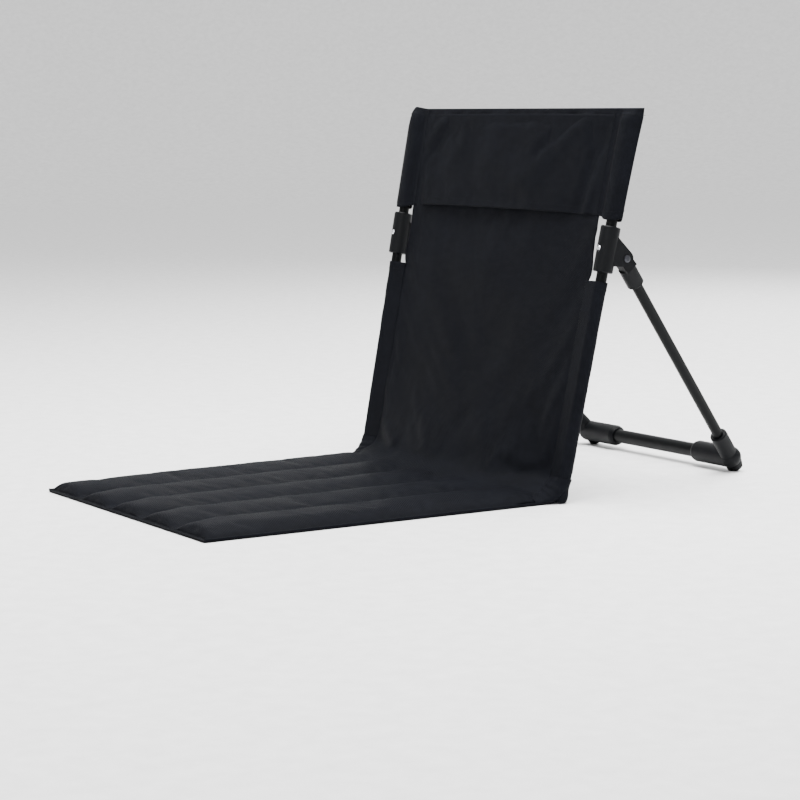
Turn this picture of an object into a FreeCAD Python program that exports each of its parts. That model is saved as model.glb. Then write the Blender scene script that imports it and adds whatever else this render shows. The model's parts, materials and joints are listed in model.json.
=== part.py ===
import FreeCAD, Part
import math
import os

# Folding floor chair for camping, shown open. A quilted mat lies on the ground, a cloth back is held by
# two upright tubes, and a rear frame hinged on the uprights' collars props the back up.
# Row frame: +Z up, ground at z = 0, the sitter faces -Y and has the left hand at +X.
# Back frame: origin on the fold line, x across, y behind the back, z up along the back.

V = FreeCAD.Vector

# Driving dimensions in millimetres and degrees
seat_length = 474.0          # front edge of the mat to the fold line
heel_reach = 357.0           # fold line to the rear end of the feet
seat_front_width = 436.0
seat_rear_width = 474.0
seat_gap = 16.0              # mat's rear end to the fold line, bridged by cloth
channel_count = 5
seat_thickness = 14.0        # at the crown of a channel
seam_thickness = 2.4         # at a sewn seam
seam_land = 4.0              # flat width of a sewn seam
border_land = 5.0            # flat sewn border at the mat's sides
sheet_thickness = 1.0        # ground sheet
cover_thickness = 1.2        # quilted cover over the foam
cloth = 0.8                  # back cloth

fold_height = 15.5
back_recline = 12.0
back_top = 485.0             # fold line to the top hem, along the back
upright_base_half = 237.0    # half the spacing of the uprights at the fold line
upright_top_half = 249.0     # the same at the top hem
upright_setback = 11.0       # upright's axis behind the fold line
upright_low = -8.0
upright_high = 466.0
tube_od = 14.0
tube_wall = 1.0
cross_od = 19.0
cross_wall = 1.2

sleeve_radius = 8.2
seam_inset = 30.0            # sleeve's sewn seam inboard of the upright
seam_setback = 3.0           # sewn seam behind the fold line
sleeve_low = -9.0
sleeve_high = 266.5
hood_low = 348.5
hood_shoulder = 468.0
hood_low_overhang = 19.0     # hood's outer edge outboard of the upright
hood_top_overhang = 22.0
notch_depth = 9.0            # scallop in the back cloth beside a collar

collar_centre = 307.5
collar_height = 58.0
collar_od = 25.0
hinge_setback = 25.0         # hinge pin behind the upright's axis
hinge_height = 300.5
pin_od = 5.0
ear_radius = 10.0
ear_thickness = 4.0
tongue_width = 14.2
hinge_gap = 0.3              # tongue to ear, and stop nose to collar
pin_clearance = 0.05

strut_length = 382.0         # hinge pin to cross tube
strut_foot_half = 161.0      # half the spacing of the struts at the feet
foot_height = 20.0           # cross tube's axis above the ground
head_start = 14.0            # strut head's socket, measured from the pin
head_end = 46.0
head_od = 22.0
foot_socket_od = 23.0
foot_socket_length = 46.0
cross_socket_od = 29.0
cross_mouth_half = 89.0      # half the bare length of the cross tube
cross_end_half = 132.0       # half the full length of the cross tube
tube_seat = 19.0             # strut tube's ends, from the pin and from the cross tube
slip = 0.05                  # radial gap of a tube in its socket

# Derived places
fold_y = (seat_length - heel_reach) / 2
tube_r = tube_od / 2
collar_r = collar_od / 2
hinge_y = upright_setback + hinge_setback
recline = math.radians(back_recline)


def axis_x(height):
    """Half spacing of the uprights at a height along the back."""
    return upright_base_half + (upright_top_half - upright_base_half) * height / back_top


def seam_x(height):
    return axis_x(height) - seam_inset


def axis_point(height):
    return V(axis_x(height), upright_setback, height)


upright_dir = (axis_point(back_top) - axis_point(0)).normalize()


def row_point(p):
    """A point of the back frame in the row frame."""
    y = p.y * math.cos(recline) + p.z * math.sin(recline)
    z = p.z * math.cos(recline) - p.y * math.sin(recline)
    return V(p.x, fold_y + y, fold_height + z)


def to_row(shape):
    """Turns a shape from the back frame into the row frame."""
    turned_back = shape.copy()
    turned_back.rotate(V(0, 0, 0), V(1, 0, 0), -back_recline)
    turned_back.translate(V(0, fold_y, fold_height))
    return turned_back


def mirrored(shape):
    return shape.mirror(V(0, 0, 0), V(1, 0, 0))


def save(name, shape):
    solids = shape.Solids
    kept = solids[0] if len(solids) == 1 else Part.makeCompound(solids)
    kept.exportStep("parts/" + name + ".step")
    print(name, len(solids), "solid", "valid" if kept.isValid() else "INVALID", round(kept.Volume), "mm3")


def save_pair(name, left_shape):
    save("left_" + name, left_shape)
    save("right_" + name, mirrored(left_shape))


def wire_of(steps):
    """Closed wire from straight steps (one end point) and arcs (middle point, end point)."""
    edges = []
    start = steps[-1][-1]
    for step in steps:
        if len(step) == 1:
            edges.append(Part.LineSegment(start, step[0]).toShape())
        else:
            edges.append(Part.Arc(start, step[0], step[1]).toShape())
        start = step[-1]
    return Part.Wire(edges)


def loft(wires):
    return Part.makeLoft(wires, True, True)


def turned(profile, base, direction):
    """Solid of revolution from (radius, height) points, stood on a base point along a direction."""
    points = [V(r, 0, h) for r, h in profile]
    face = Part.Face(Part.makePolygon(points + points[:1]))
    solid = face.revolve(V(0, 0, 0), V(0, 0, 1), 360)
    solid.Placement = FreeCAD.Placement(base, FreeCAD.Rotation(V(0, 0, 1), direction))
    return solid


def tube(outer_r, wall, start, end):
    span = end - start
    outer = Part.makeCylinder(outer_r, span.Length, start, span)
    return outer.cut(Part.makeCylinder(outer_r - wall, span.Length, start, span))


def blind_rivet(surface_point, outward, grip):
    """Domed rivet head on a surface, with a shank that grips inwards."""
    head_r, head_rise, sunk, shank_r = 3.2, 1.3, 0.6, 1.7
    profile = [(0, -grip), (shank_r, -grip), (shank_r, -sunk), (head_r, -sunk), (head_r, 0.2)]
    profile += [(head_r * 0.75, head_rise * 0.75), (head_r * 0.35, head_rise), (0, head_rise)]
    return turned(profile, surface_point, outward)


def tangent_point(p, centre, radius, side):
    """Where the tangent from p touches a circle in a plane; side is +1 or -1."""
    dx, dy = p[0] - centre[0], p[1] - centre[1]
    angle = math.atan2(dy, dx) + side * math.acos(radius / math.hypot(dx, dy))
    return centre[0] + radius * math.cos(angle), centre[1] + radius * math.sin(angle)


# Seat mat
mat_front = fold_y - seat_length
mat_rear = fold_y - seat_gap


def mat_half(y):
    share = (y - mat_front) / seat_length
    return (seat_front_width + (seat_rear_width - seat_front_width) * share) / 2


def channel_edges(y, index):
    """Left and right foot of a channel's arc."""
    usable = mat_half(y) - border_land
    width = 2 * usable / channel_count
    low = -usable + index * width
    left = low + (seam_land / 2 if index > 0 else 0)
    right = low + width - (seam_land / 2 if index < channel_count - 1 else 0)
    return left, right


def cover_section(y, crown):
    half = mat_half(y)
    steps = [(V(-half, y, sheet_thickness),), (V(-half, y, seam_thickness),)]
    for index in range(channel_count):
        left, right = channel_edges(y, index)
        steps.append((V(left, y, seam_thickness),))
        steps.append((V((left + right) / 2, y, crown), V(right, y, seam_thickness)))
    steps.append((V(half, y, seam_thickness),))
    steps.append((V(half, y, sheet_thickness),))
    return wire_of(steps)


def foam_section(y, index, crown):
    left, right = channel_edges(y, index)
    foot_left = V(left + cover_thickness, y, sheet_thickness)
    foot_right = V(right - cover_thickness, y, sheet_thickness)
    return wire_of([(V((left + right) / 2, y, crown), foot_right), (foot_left,)])


def make_seat():
    foam_crown = seat_thickness - cover_thickness
    cover_stations = [(0, 4.0), (4, 9.0), (12, 12.0), (28, seat_thickness)]
    foam_stations = [(3, 5.0), (12, 10.3), (28, foam_crown)]
    rear_taper = 24.0
    cover_wires = [cover_section(mat_front + d, c) for d, c in cover_stations]
    cover_wires.append(cover_section(mat_rear - rear_taper, seat_thickness))
    cover_wires.append(cover_section(mat_rear, 9.0))
    cover = loft(cover_wires)
    for index in range(channel_count):
        wires = [foam_section(mat_front + d, index, c) for d, c in foam_stations]
        wires.append(foam_section(mat_rear - rear_taper, index, foam_crown))
        wires.append(foam_section(mat_rear - 3, index, 7.4))
        strip = loft(wires)
        cover = cover.cut(strip)
        save("seat_foam_strip_" + str(index + 1), strip)
    save("seat_top_cover", cover)

    corners = [V(-mat_half(mat_front), mat_front, 0), V(mat_half(mat_front), mat_front, 0)]
    corners += [V(mat_half(mat_rear), mat_rear, 0), V(-mat_half(mat_rear), mat_rear, 0)]
    sheet = Part.Face(Part.makePolygon(corners + corners[:1])).extrude(V(0, 0, sheet_thickness))
    save("seat_ground_sheet", sheet)

    # The web is cloth from the mat's rear edge up to a rolled seam on the fold line
    roll_r, web_half, web_thickness = 2.5, 202.0, 1.2
    roll = Part.makeCylinder(roll_r, 2 * web_half, V(-web_half, fold_y, fold_height), V(1, 0, 0))
    low, high = V(-web_half, mat_rear, 1.0), V(-web_half, fold_y - roll_r * 0.5, fold_height)
    up = V(0, 0, web_thickness)
    web = Part.Face(Part.makePolygon([low, high, high + up, low + up, low])).extrude(V(2 * web_half, 0, 0))
    save("fold_seam", web.fuse(roll).removeSplitter())


# Back cloth
def sleeve_wire(height, radius, tip_gap):
    """Teardrop round the upright, drawn to a sewn seam on its inner side."""
    centre = (axis_x(height), upright_setback)
    tip = (seam_x(height) + tip_gap, seam_setback)
    front = tangent_point(tip, centre, radius, 1)
    rear = tangent_point(tip, centre, radius, -1)
    outer = (centre[0] + radius, centre[1])
    turn = math.radians(55)
    front_mid = (centre[0] + radius * math.cos(turn), centre[1] - radius * math.sin(turn))
    rear_mid = (centre[0] + radius * math.cos(turn), centre[1] + radius * math.sin(turn))
    at = [V(x, y, height) for x, y in (tip, front, front_mid, outer, rear_mid, rear)]
    return wire_of([(at[1],), (at[2], at[3]), (at[4], at[5]), (at[0],)])


def make_sleeves():
    outer = loft([sleeve_wire(h, sleeve_radius, 0) for h in (sleeve_low, sleeve_high)])
    inner = loft([sleeve_wire(h, sleeve_radius - cloth, 5 * cloth) for h in (sleeve_low - 1, sleeve_high + 1)])
    save_pair("back_sleeve", to_row(outer.cut(inner)))


def hood_wire(height, radius, centre_y, overhang, tip_gap):
    """Lens round the upright's top, sewn at its inner and outer edges."""
    centre = (axis_x(height), centre_y)
    inner = (seam_x(height) + tip_gap, seam_setback)
    outer = (centre[0] + overhang - tip_gap, centre_y)
    inner_front = tangent_point(inner, centre, radius, 1)
    inner_rear = tangent_point(inner, centre, radius, -1)
    outer_front = tangent_point(outer, centre, radius, -1)
    outer_rear = tangent_point(outer, centre, radius, 1)

    def arc_middle(a, b):
        angle = math.atan2(a[1] + b[1] - 2 * centre[1], a[0] + b[0] - 2 * centre[0])
        return centre[0] + radius * math.cos(angle), centre[1] + radius * math.sin(angle)

    points = (inner, inner_front, arc_middle(inner_front, outer_front), outer_front,
              outer, outer_rear, arc_middle(outer_rear, inner_rear), inner_rear)
    at = [V(x, y, height) for x, y in points]
    return wire_of([(at[1],), (at[2], at[3]), (at[4],), (at[5],), (at[6], at[7]), (at[0],)])


def make_hood_sleeves():
    pinched_r, pinched_y, gap = 2.0, seam_setback + 2.0, 4 * cloth
    full, bare = sleeve_radius, sleeve_radius - cloth
    outer = loft([hood_wire(hood_low, full, upright_setback, hood_low_overhang, 0),
                  hood_wire(hood_shoulder, full, upright_setback, hood_top_overhang, 0),
                  hood_wire(back_top, pinched_r, pinched_y, hood_top_overhang, 0)])
    inner = loft([hood_wire(hood_low - 1, bare, upright_setback, hood_low_overhang, gap),
                  hood_wire(hood_shoulder + 1, bare, upright_setback, hood_top_overhang, gap),
                  hood_wire(back_top - 1.5, pinched_r - cloth, pinched_y, hood_top_overhang, gap)])
    save_pair("hood_sleeve", to_row(outer.cut(inner)))


def cloth_section(height, half, edge_y, bow):
    """Thin strip across the back that bows towards the rear by a given depth at its middle."""
    near, far = edge_y - cloth / 2, edge_y + cloth / 2
    return wire_of([(V(0, near + bow, height), V(half, near, height)), (V(half, far, height),),
                    (V(0, far + bow, height), V(-half, far, height)), (V(-half, near, height),)])


def cloth_panel(edge_y, stations):
    return loft([cloth_section(h, seam_x(h), edge_y, bow) for h, bow in stations])


def make_back_cloth():
    hem_low, hem_front, hem_rear = 477.0, -1.0, 7.0
    slack = [(3.5, -1.0), (40, -3.0), (110, 2.0), (235, 7.0), (350, 5.0), (hem_low, 1.0)]
    panel = cloth_panel(seam_setback, slack)
    span = hood_low - sleeve_high
    notch_r = ((span / 2) ** 2 + notch_depth ** 2) / (2 * notch_depth)
    notch_z = (hood_low + sleeve_high) / 2
    notch_x = seam_x(notch_z) - notch_depth + notch_r
    reach = 60.0
    notch = Part.makeCylinder(notch_r, 2 * reach, V(notch_x, -reach, notch_z), V(0, 1, 0))
    save("back_panel", to_row(panel.cut(notch).cut(mirrored(notch))))

    front_edge, rear_edge = seam_setback - 1.4, seam_setback + 1.6
    save("hood_front", to_row(cloth_panel(front_edge, [(hood_low, -5.0), (410, -3.5), (hem_low, -1.0)])))
    save("hood_rear", to_row(cloth_panel(rear_edge, [(hood_low, 9.0), (410, 6.5), (hem_low, 2.0)])))

    half = seam_x(hem_low)
    round_z = back_top - (hem_rear - hem_front) / 2 + 1
    mid = (hem_front + hem_rear) / 2
    hem = wire_of([(V(-half, hem_front, hem_low),), (V(-half, hem_front, round_z),),
                   (V(-half, mid, back_top), V(-half, hem_rear, round_z)), (V(-half, hem_rear, hem_low),)])
    save("top_hem", to_row(Part.Face(hem).extrude(V(2 * half, 0, 0))))


# Uprights with their collars
def end_plug(flange_r, thickness, shank_r, shank_length, base, direction):
    profile = [(0, thickness), (flange_r - 1.5, thickness), (flange_r, thickness - 1.5), (flange_r, 0)]
    profile += [(shank_r, 0), (shank_r, -shank_length), (0, -shank_length)]
    return turned(profile, base, direction)


def ear(side):
    """Hinge ear in the plane across the pin, from the collar's rear to round the pin."""
    low, high = (upright_setback + 5.0, hinge_height - 13.0), (upright_setback + 5.0, hinge_height + 25.0)
    centre = (hinge_y, hinge_height)
    low_touch = tangent_point(low, centre, ear_radius, 1)
    high_touch = tangent_point(high, centre, ear_radius, -1)
    inner = tongue_width / 2 + hinge_gap
    x = axis_x(hinge_height) + (inner if side > 0 else -inner - ear_thickness)
    at = [V(x, y, z) for y, z in (low, low_touch, (hinge_y + ear_radius, hinge_height), high_touch, high)]
    outline = wire_of([(at[1],), (at[2], at[3]), (at[4],), (at[0],)])
    return Part.Face(outline).extrude(V(ear_thickness, 0, 0))


def hinge_pin():
    head_r, head_rise = 4.6, 1.9
    half = tongue_width / 2 + hinge_gap + ear_thickness
    start = V(axis_x(hinge_height) - half, hinge_y, hinge_height)
    r = pin_od / 2
    length = 2 * half
    profile = [(0, -head_rise), (head_r * 0.6, -head_rise), (head_r, -head_rise * 0.5), (head_r, 0), (r, 0)]
    profile += [(r, length), (head_r, length), (head_r, length + head_rise * 0.5)]
    profile += [(head_r * 0.6, length + head_rise), (0, length + head_rise)]
    return turned(profile, start, V(1, 0, 0))


def make_uprights():
    low, high = axis_point(upright_low), axis_point(upright_high)
    upright = tube(tube_r, tube_wall, low, high)
    bore_r = tube_r - tube_wall
    top_plug = end_plug(tube_r + 0.2, 3.0, bore_r, 12.0, high, upright_dir)
    foot_cap = end_plug(tube_r + 0.2, 3.0, bore_r, 12.0, low, upright_dir.negative())

    edge = 1.2
    h = collar_height
    profile = [(tube_r, 0), (collar_r - edge, 0), (collar_r, edge), (collar_r, h - edge)]
    profile += [(collar_r - edge, h), (tube_r, h)]
    collar = turned(profile, axis_point(collar_centre - h / 2), upright_dir)
    pin = hinge_pin()
    collar = collar.fuse(ear(1)).fuse(ear(-1)).cut(pin)
    rivet = blind_rivet(axis_point(collar_centre) - V(0, collar_r, 0), V(0, -1, 0), 8.0)

    save_pair("upright_tube", to_row(upright.cut(rivet)))
    save_pair("upright_top_plug", to_row(top_plug))
    save_pair("upright_foot_cap", to_row(foot_cap))
    save_pair("collar", to_row(collar.cut(rivet).removeSplitter()))
    save_pair("collar_rivet", to_row(rivet))
    save_pair("hinge_pin", to_row(pin))


# Rear frame
pin_point = row_point(V(axis_x(hinge_height), hinge_y, hinge_height))
toe_in = pin_point.x - strut_foot_half
drop = pin_point.z - foot_height
spread = math.sqrt(strut_length ** 2 - toe_in ** 2 - drop ** 2)
foot_point = V(strut_foot_half, pin_point.y + spread, foot_height)
strut_dir = (foot_point - pin_point).normalize()
strut_lean = math.atan2(spread, drop)


def on_strut(distance):
    return pin_point + strut_dir * distance


def strut_head():
    """Tongue between the collar's ears, with a stop nose above the pin and a socket below it."""
    half, neck, nose_length, nose_half = tongue_width / 2, 18.0, 30.0, 7.0
    stop_y = upright_setback + collar_r + hinge_gap
    lean = strut_lean + recline
    down = V(0, math.sin(lean), -math.cos(lean))
    across = V(0, math.cos(lean), math.sin(lean))
    pin_at = V(axis_x(hinge_height), hinge_y, hinge_height)
    left = pin_at - V(half, 0, 0)
    eye_r = 9.0
    width = V(tongue_width, 0, 0)
    eye = Part.makeCylinder(eye_r, tongue_width, left, V(1, 0, 0))
    neck_line = [left + across * eye_r, left + across * eye_r + down * neck]
    neck_line += [left - across * eye_r + down * neck, left - across * eye_r]
    nose_line = [left + across * nose_half, left - across * nose_half]
    nose_line += [left - across * nose_half - down * nose_length, left + across * nose_half - down * nose_length]
    tongue = eye
    for line in (neck_line, nose_line):
        tongue = tongue.fuse(Part.Face(Part.makePolygon(line + line[:1])).extrude(width))
    room = 60.0
    tongue = tongue.cut(Part.makeBox(2 * room, room, 2 * room, V(left.x - room, stop_y - room, hinge_height - room)))
    tongue = to_row(tongue)

    r, edge = head_od / 2, 2.0
    length = head_end - head_start
    socket = turned([(0, 0), (r - edge, 0), (r, edge), (r, length - 1), (r - 1, length), (0, length)],
                    on_strut(head_start), strut_dir)
    bore = Part.makeCylinder(tube_r + slip, head_end - tube_seat + 1, on_strut(tube_seat), strut_dir)
    pin_bore = Part.makeCylinder(pin_od / 2 + pin_clearance, 60.0, pin_point - V(30, 0, 0), V(1, 0, 0))
    return tongue.fuse(socket).cut(bore).cut(pin_bore)


def corner_foot():
    """Corner piece with sockets for a strut and the cross tube, and a flat pad on the ground."""
    r = foot_socket_od / 2
    up = strut_dir.negative()
    below = 22.0
    length = foot_socket_length + below
    strut_socket = turned([(0, 0), (r - 4, 0), (r, 4), (r, length - 1.2), (r - 1.2, length), (0, length)],
                          foot_point - up * below, up)
    cross_r = cross_socket_od / 2
    reach = strut_foot_half - cross_mouth_half
    cross_socket = turned([(0, 0), (cross_r - 3.5, 0), (cross_r - 1, 2.5), (cross_r, 6), (cross_r, reach), (0, reach)],
                          V(cross_mouth_half, foot_point.y, foot_point.z), V(1, 0, 0))
    body = strut_socket.fuse(cross_socket).fuse(Part.makeSphere(cross_r, foot_point))
    strut_bore = Part.makeCylinder(tube_r + slip, foot_socket_length, foot_point + up * tube_seat, up)
    cross_bore = Part.makeCylinder(cross_od / 2 + slip, cross_end_half - cross_mouth_half + 1,
                                   V(cross_mouth_half - 1, foot_point.y, foot_point.z), V(1, 0, 0))
    room = 120.0
    ground = Part.makeBox(2 * room, 2 * room, room, foot_point - V(room, room, room + foot_height))
    behind = Part.makeBox(2 * room, room, 2 * room, V(foot_point.x - room, fold_y + heel_reach, -room))
    return body.cut(strut_bore).cut(cross_bore).cut(ground).cut(behind)


def make_rear_frame():
    strut = tube(tube_r, tube_wall, on_strut(tube_seat), foot_point - strut_dir * tube_seat)
    head = strut_head()
    foot = corner_foot()
    cross = tube(cross_od / 2, cross_wall, V(-cross_end_half, foot_point.y, foot_point.z),
                 V(cross_end_half, foot_point.y, foot_point.z))

    # Rivets sit on the upper rear side of each strut socket and behind each cross socket
    upper_rear = strut_dir.cross(V(-1, 0, 0)).normalize()
    head_rivet = blind_rivet(on_strut(36.0) + upper_rear * (head_od / 2), upper_rear, 7.0)
    strut_rivet = blind_rivet(foot_point - strut_dir * 36.0 + upper_rear * (foot_socket_od / 2), upper_rear, 7.5)
    behind = V(0, 1, 0)
    cross_rivet_x = (cross_mouth_half + cross_end_half) / 2
    cross_rivet = blind_rivet(V(cross_rivet_x, foot_point.y + cross_socket_od / 2, foot_point.z), behind, 7.5)

    save_pair("strut_head", head.cut(head_rivet).removeSplitter())
    save_pair("strut_tube", strut.cut(head_rivet).cut(strut_rivet))
    save_pair("foot", foot.cut(strut_rivet).cut(cross_rivet).removeSplitter())
    save("cross_tube", cross.cut(cross_rivet).cut(mirrored(cross_rivet)))
    save_pair("head_rivet", head_rivet)
    save_pair("foot_rivets", Part.makeCompound([strut_rivet, cross_rivet]))


os.makedirs("parts", exist_ok=True)
make_seat()
make_back_cloth()
make_sleeves()
make_hood_sleeves()
make_uprights()
make_rear_frame()
fold_limit = math.degrees(strut_lean + recline)
print("fold line at y", round(fold_y, 3), "z", fold_height)
print("hinge pin", [round(c, 3) for c in pin_point], "foot", [round(c, 3) for c in foot_point])
print("strut to upright", round(fold_limit, 2), "degrees")
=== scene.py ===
import json
import math

import bmesh
import bpy
from mathutils import Matrix, Vector, noise
from mathutils.bvhtree import BVHTree


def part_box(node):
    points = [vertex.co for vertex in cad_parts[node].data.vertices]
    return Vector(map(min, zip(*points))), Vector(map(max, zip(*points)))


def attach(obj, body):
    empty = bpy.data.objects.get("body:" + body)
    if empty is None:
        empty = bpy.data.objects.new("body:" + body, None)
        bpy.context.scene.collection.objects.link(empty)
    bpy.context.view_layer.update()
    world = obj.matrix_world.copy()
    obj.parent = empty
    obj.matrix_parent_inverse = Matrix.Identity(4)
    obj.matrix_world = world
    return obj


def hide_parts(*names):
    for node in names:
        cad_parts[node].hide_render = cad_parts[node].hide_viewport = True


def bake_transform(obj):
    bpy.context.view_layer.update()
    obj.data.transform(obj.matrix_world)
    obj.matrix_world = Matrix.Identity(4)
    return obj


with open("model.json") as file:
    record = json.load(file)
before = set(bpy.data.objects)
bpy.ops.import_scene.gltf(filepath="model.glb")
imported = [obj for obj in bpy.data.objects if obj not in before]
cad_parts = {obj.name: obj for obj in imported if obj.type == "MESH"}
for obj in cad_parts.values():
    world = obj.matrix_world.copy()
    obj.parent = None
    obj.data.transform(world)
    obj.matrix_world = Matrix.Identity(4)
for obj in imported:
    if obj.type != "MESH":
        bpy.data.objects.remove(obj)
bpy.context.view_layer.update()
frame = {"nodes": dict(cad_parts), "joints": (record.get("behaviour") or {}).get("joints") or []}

bl_info = {
    "name": "Folding Floor Chair",
    "version": (1, 0, 0),
    "blender": (4, 5, 0),
    "location": "View3D > Sidebar > Floor Chair",
    "description": "Dresses a folding floor chair: quilted mat, cloth back, hood, tubes and fittings",
    "category": "Object",
}

# Row frame in metres: +Z up, ground at z = 0, the sitter faces -Y and has the left hand at +X.
# Back frame: across the back, behind the fold line, and up along the back.
MM = 0.001
FOLD = Vector(next(joint["pos_m"] for joint in frame["joints"] if joint["name"] == "back_fold"))
MAT_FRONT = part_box("seat_ground_sheet")[0].y
MAT_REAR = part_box("seat_ground_sheet")[1].y


def linear(hex_colour):
    """An sRGB hex colour as linear red, green and blue."""
    parts = [int(hex_colour[i:i + 2], 16) / 255 for i in (1, 3, 5)]
    return tuple(c / 12.92 if c <= 0.04045 else ((c + 0.055) / 1.055) ** 2.4 for c in parts)


def length(name, description, millimetres):
    """A length property in metres, given in millimetres."""
    return bpy.props.FloatProperty(name=name, description=description, default=millimetres * MM,
                                   min=-2.0, max=2.0, precision=4, unit="LENGTH")


def colour(name, description, hex_colour):
    return bpy.props.FloatVectorProperty(name=name, description=description, default=linear(hex_colour),
                                         min=0.0, max=1.0, size=3, subtype="COLOR")


# Sizes and colours that a user would change
class MatSizes(bpy.types.PropertyGroup):
    """Sizes of the quilted mat."""
    front_width: length("Front width", "Width of the mat across its front", 448)
    rear_width: length("Rear width", "Width of the mat at the fold line", 474)
    crown: length("Crown", "Height of a padded channel above the ground", 14.5)
    seam: length("Seam height", "Height of a sewn seam above the ground", 2.6)
    border: length("Border", "Sewn border at the mat's sides", 3)
    binding: length("Binding", "Thickness of the bound edge", 5)
    hem: length("Front hem", "Hem in front of the padding", 3)
    nose: length("Nose", "Padding in front of the ground sheet's end", 4)
    pillow: length("Pillow end", "Length over which a channel rises at the front", 14)
    valley: bpy.props.FloatProperty(name="Valley",
                                    description="Height of a seam between two channels, as a share",
                                    default=0.72, min=0.0, max=1.0, subtype="FACTOR")
    channels: bpy.props.IntProperty(name="Channels", description="Lengthwise padded channels",
                                    default=5, min=1, max=12)


class BackSizes(bpy.types.PropertyGroup):
    """Sizes of the cloth back, its sleeves and its hood."""
    lean: bpy.props.FloatProperty(name="Lean", description="Angle of the back from upright",
                                  default=math.radians(12), subtype="ANGLE")
    top: length("Top", "Fold line to the top hem, along the back", 485)
    upright_base: length("Upright base", "Half the spacing of the uprights at the fold line", 237)
    upright_top: length("Upright top", "Half the spacing of the uprights at the top hem", 249)
    upright_behind: length("Upright setback", "Upright's axis behind the fold line", 11)
    seam_inset: length("Seam inset", "Sleeve's sewn seam inboard of the upright", 30)
    seam_behind: length("Seam setback", "Sleeve's sewn seam behind the fold line", 9)
    sleeve_radius: length("Sleeve radius", "Cloth round an upright, from its axis", 8.4)
    sleeve_low: length("Sleeve low end", "Lower end of a sleeve along the back", -13)
    sleeve_high: length("Sleeve high end", "Upper end of a sleeve along the back", 266.5)
    hood_low: length("Hood low edge", "Lower edge of the hood along the back", 348.5)
    hood_overhang: length("Hood overhang", "Hood's outer edge outboard of the upright", 22)
    tuck: length("Seam tuck", "Back cloth's edge inside a sleeve's seam", 4)
    left_ease: length("Left ease", "Free edge beside the left collar, outboard of the seam", 3)
    right_ease: length("Right ease", "Free edge beside the right collar, outboard of the seam", 5)
    cloth: length("Cloth", "Thickness of the back cloth", 0.8)


class FinishColours(bpy.types.PropertyGroup):
    """Colours of the finishes."""
    cloth: colour("Cloth", "Woven cloth of the mat and the back", "#0e0f13")
    ground: colour("Ground sheet", "Coated underside of the mat", "#0e0f11")
    thread: colour("Thread", "Sewing thread", "#131418")
    paint: colour("Tube paint", "Powder coat on the tubes", "#070809")
    plastic: colour("Plastic", "Moulded fittings", "#0b0c0e")
    rivet: colour("Rivet", "Plated rivets", "#d6d8dc")
    pin: colour("Hinge pin", "Blackened hinge pins", "#3c3d41")
    floor: colour("Floor", "Plain studio floor", "#f7f7f7")


def mat_sizes():
    return bpy.context.scene.floor_chair_mat


def back_sizes():
    return bpy.context.scene.floor_chair_back


def finish_colours():
    return bpy.context.scene.floor_chair_colours


# Shapes in numbers
def ease(low, high, value):
    """0 below low, 1 above high, smooth between them."""
    share = min(1.0, max(0.0, (value - low) / (high - low)))
    return share * share * (3 - 2 * share)


def mix(a, b, share):
    return a + (b - a) * share


def swell(value, centre, spread):
    """1 at the centre, fading to both sides."""
    return math.exp(-((value - centre) / spread) ** 2)


def ripple(x, y, wave, seed):
    """Smooth unevenness from -1 to 1 with hollows about one wave apart."""
    return noise.noise(Vector((x / wave, y / wave, seed)))


def crease(place, start, end, width):
    """1 along the line from start to end, fading to its sides and past its ends."""
    run = end - start
    share = max(0.0, min(1.0, (place - start).dot(run) / run.length_squared))
    return math.exp(-((place - start - run * share).length / width) ** 2)


def fold_height(folds, x, up):
    """How far folds of (height, start, end, width) stand out at a place on the back, in millimetres."""
    spot = Vector((x, up))
    out = 0.0
    for height, start, end, width in folds:
        out += height * crease(spot, Vector(start) * MM, Vector(end) * MM, width * MM)
    return out


def along(points, share):
    """A smooth curve through points, at a share of the way from the first to the last."""
    last = len(points) - 1
    step = min(max(share, 0.0), 1.0) * last
    index = min(int(step), last - 1)
    part = step - index
    a, b, c, d = (points[max(0, min(last, index + k))] for k in (-1, 0, 1, 2))
    slope = c - a
    bow = 2 * a - 5 * b + 4 * c - d
    sway = 3 * b - a - 3 * c + d
    return 0.5 * (2 * b + slope * part + bow * part ** 2 + sway * part ** 3)


def even_steps(points, count):
    """Points at equal steps along the smooth curve through points."""
    fine = 400
    samples = [along(points, i / fine) for i in range(fine + 1)]
    run = [0.0]
    for a, b in zip(samples, samples[1:]):
        run.append(run[-1] + (b - a).length)
    found, index = [], 0
    for i in range(count + 1):
        want = run[-1] * i / count
        while index < len(run) - 2 and run[index + 1] < want:
            index += 1
        gap = run[index + 1] - run[index]
        found.append(samples[index].lerp(samples[index + 1], (want - run[index]) / gap))
    return found


def back_point(across, behind, up):
    """A point of the back frame in the row frame."""
    lean = back_sizes().lean
    y = behind * math.cos(lean) + up * math.sin(lean)
    z = up * math.cos(lean) - behind * math.sin(lean)
    return Vector((across, FOLD.y + y, FOLD.z + z))


def upright_x(up):
    """Half the spacing of the uprights' axes at a place up the back."""
    sizes = back_sizes()
    return mix(sizes.upright_base, sizes.upright_top, up / sizes.top)


def seam_x(up):
    """Half the spacing of the sleeves' sewn seams at a place up the back."""
    return upright_x(up) - back_sizes().seam_inset


def mat_half(y):
    """Half the mat's width at a place along it."""
    sizes = mat_sizes()
    return mix(sizes.front_width, sizes.rear_width, (y - MAT_FRONT) / (FOLD.y - MAT_FRONT)) / 2


# Meshes
def add_object(name, data):
    """Puts an object into the scene, at the origin."""
    made = bpy.data.objects.new(name, data)
    bpy.context.scene.collection.objects.link(made)
    return made


def keep(name, bm):
    """Makes a bmesh a smooth shaded object."""
    mesh = bpy.data.meshes.new(name)
    bm.to_mesh(mesh)
    bm.free()
    mesh.shade_smooth()
    return add_object(name, mesh)


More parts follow.
